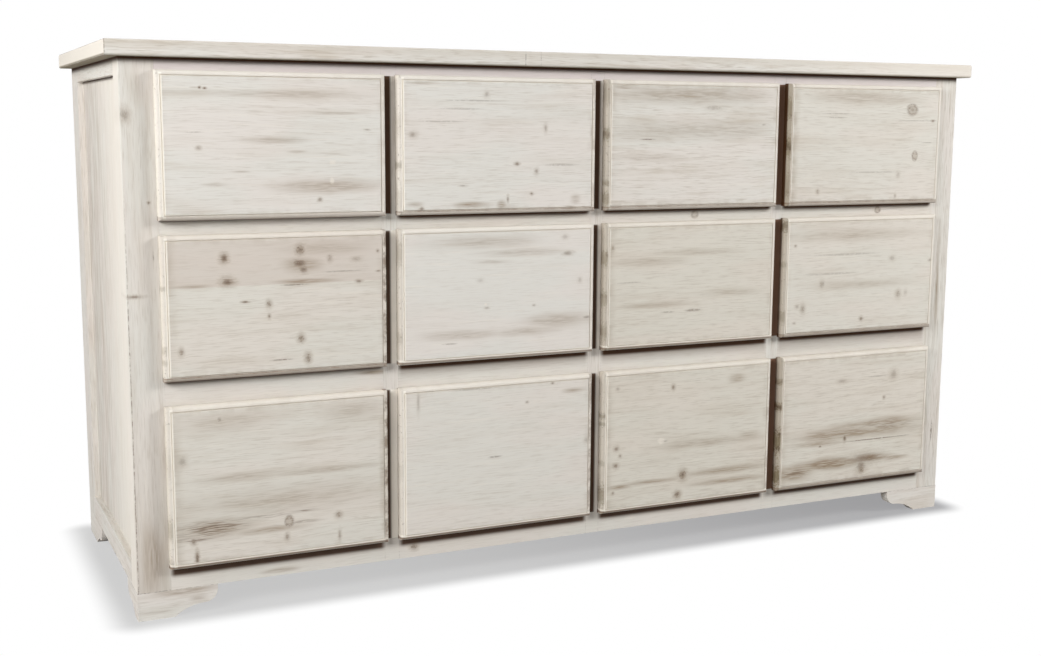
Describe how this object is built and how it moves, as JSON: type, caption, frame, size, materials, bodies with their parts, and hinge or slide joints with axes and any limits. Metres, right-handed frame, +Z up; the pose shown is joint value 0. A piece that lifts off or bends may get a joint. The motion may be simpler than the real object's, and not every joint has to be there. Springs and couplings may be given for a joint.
{
  "type": "chest of drawers",
  "caption": "Long floor-standing storage cabinet with rows of lipped drawers, a face frame, panelled sides and bracket feet, in whitewashed pine.",
  "frame": {"origin": "on the floor, under the middle of the closed cabinet's bounding box", "axes": "+X to the right seen from the front, the drawers open along -Y, +Z up"},
  "size_m": [1.684, 0.564, 0.915],
  "materials": {
    "washed_top": "whitewashed pine, satin, grain along the length",
    "washed_upright": "whitewashed pine, satin, upright grain",
    "washed_rail": "whitewashed pine, satin, level grain",
    "washed_panel": "whitewashed pine, satin, upright grain",
    "washed_foot": "whitewashed pine, satin, level grain",
    "washed_front": "whitewashed pine, satin, level grain, rubbed edges",
    "bare_pine": "bare sawn pine, matt"
  },
  "bodies": {
    "cabinet": {"top_board": "washed_top", "corner_post_left": "washed_upright", "corner_post_right": "washed_upright", "back_post_left": "washed_upright", "back_post_right": "washed_upright", "face_top_rail": "washed_rail", "face_bottom_rail": "washed_rail", "mid_stiles": "washed_upright", "upper_rails": "washed_rail", "lower_rails": "washed_rail", "side_top_rails": "washed_rail", "side_bottom_rails": "washed_rail", "side_panels": "washed_panel", "back_rails": "bare_pine", "back_panel": "bare_pine", "runners": "bare_pine", "guides": "bare_pine", "top_kickers": "bare_pine", "bottom_board": "bare_pine", "foot_fronts": "washed_foot", "foot_sides_front": "washed_foot", "foot_sides_back": "washed_foot", "foot_backs": "bare_pine", "foot_blocks": "bare_pine"},
    "drawer_r1c1": {"drawer_front_r1c1": "washed_front", "drawer_sides_r1c1": "bare_pine", "drawer_panels_r1c1": "bare_pine"},
    "drawer_r1c2": {"drawer_front_r1c2": "washed_front", "drawer_sides_r1c2": "bare_pine", "drawer_panels_r1c2": "bare_pine"},
    "drawer_r1c3": {"drawer_front_r1c3": "washed_front", "drawer_sides_r1c3": "bare_pine", "drawer_panels_r1c3": "bare_pine"},
    "drawer_r1c4": {"drawer_front_r1c4": "washed_front", "drawer_sides_r1c4": "bare_pine", "drawer_panels_r1c4": "bare_pine"},
    "drawer_r2c1": {"drawer_front_r2c1": "washed_front", "drawer_sides_r2c1": "bare_pine", "drawer_panels_r2c1": "bare_pine"},
    "drawer_r2c2": {"drawer_front_r2c2": "washed_front", "drawer_sides_r2c2": "bare_pine", "drawer_panels_r2c2": "bare_pine"},
    "drawer_r2c3": {"drawer_front_r2c3": "washed_front", "drawer_sides_r2c3": "bare_pine", "drawer_panels_r2c3": "bare_pine"},
    "drawer_r2c4": {"drawer_front_r2c4": "washed_front", "drawer_sides_r2c4": "bare_pine", "drawer_panels_r2c4": "bare_pine"},
    "drawer_r3c1": {"drawer_front_r3c1": "washed_front", "drawer_sides_r3c1": "bare_pine", "drawer_panels_r3c1": "bare_pine"},
    "drawer_r3c2": {"drawer_front_r3c2": "washed_front", "drawer_sides_r3c2": "bare_pine", "drawer_panels_r3c2": "bare_pine"},
    "drawer_r3c3": {"drawer_front_r3c3": "washed_front", "drawer_sides_r3c3": "bare_pine", "drawer_panels_r3c3": "bare_pine"},
    "drawer_r3c4": {"drawer_front_r3c4": "washed_front", "drawer_sides_r3c4": "bare_pine", "drawer_panels_r3c4": "bare_pine"}
  },
  "joints": [
    {"name": "drawer_r1c1_slide", "type": "slide", "parent": "cabinet", "child": "drawer_r1c1", "axis": [0, -1, 0], "range_m": [0, 0.35]},
    {"name": "drawer_r1c2_slide", "type": "slide", "parent": "cabinet", "child": "drawer_r1c2", "axis": [0, -1, 0], "range_m": [0, 0.35]},
    {"name": "drawer_r1c3_slide", "type": "slide", "parent": "cabinet", "child": "drawer_r1c3", "axis": [0, -1, 0], "range_m": [0, 0.35]},
    {"name": "drawer_r1c4_slide", "type": "slide", "parent": "cabinet", "child": "drawer_r1c4", "axis": [0, -1, 0], "range_m": [0, 0.35]},
    {"name": "drawer_r2c1_slide", "type": "slide", "parent": "cabinet", "child": "drawer_r2c1", "axis": [0, -1, 0], "range_m": [0, 0.35]},
    {"name": "drawer_r2c2_slide", "type": "slide", "parent": "cabinet", "child": "drawer_r2c2", "axis": [0, -1, 0], "range_m": [0, 0.35]},
    {"name": "drawer_r2c3_slide", "type": "slide", "parent": "cabinet", "child": "drawer_r2c3", "axis": [0, -1, 0], "range_m": [0, 0.35]},
    {"name": "drawer_r2c4_slide", "type": "slide", "parent": "cabinet", "child": "drawer_r2c4", "axis": [0, -1, 0], "range_m": [0, 0.35]},
    {"name": "drawer_r3c1_slide", "type": "slide", "parent": "cabinet", "child": "drawer_r3c1", "axis": [0, -1, 0], "range_m": [0, 0.35]},
    {"name": "drawer_r3c2_slide", "type": "slide", "parent": "cabinet", "child": "drawer_r3c2", "axis": [0, -1, 0], "range_m": [0, 0.35]},
    {"name": "drawer_r3c3_slide", "type": "slide", "parent": "cabinet", "child": "drawer_r3c3", "axis": [0, -1, 0], "range_m": [0, 0.35]},
    {"name": "drawer_r3c4_slide", "type": "slide", "parent": "cabinet", "child": "drawer_r3c4", "axis": [0, -1, 0], "range_m": [0, 0.35]}
  ]
}
